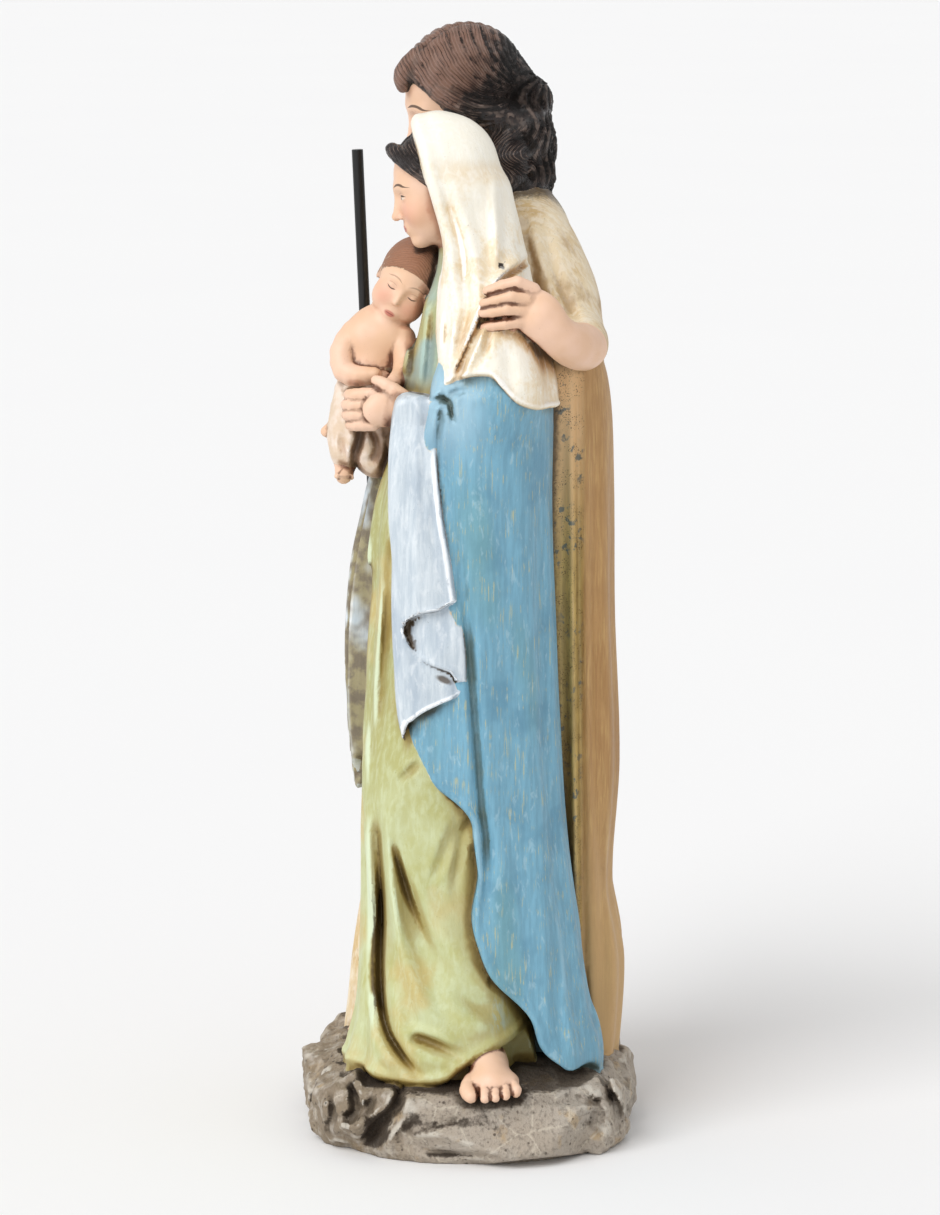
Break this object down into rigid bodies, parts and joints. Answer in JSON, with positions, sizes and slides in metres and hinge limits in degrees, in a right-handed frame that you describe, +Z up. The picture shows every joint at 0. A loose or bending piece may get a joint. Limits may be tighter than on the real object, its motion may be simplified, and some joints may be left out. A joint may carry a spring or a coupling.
{
  "type": "religious statue",
  "caption": "Standing group of a bearded man with a staff, a veiled woman and a sleeping infant, one painted casting on a low rock base with a separate straight rod.",
  "frame": {"origin": "centre of the bounding box in plan, at the flat underside of the rock base", "axes": "+Z up; the figures' chests face -Y; the woman stands at +X and the man at -X"},
  "size_m": [0.1248, 0.0934, 0.3048],
  "materials": {
    "painted_resin": "hand-painted stone-filled resin with a dark antique wash, satin",
    "black_rod": "satin black"
  },
  "bodies": {
    "root": {"family_group": "painted_resin", "staff": "black_rod"}
  },
  "joints": []
}
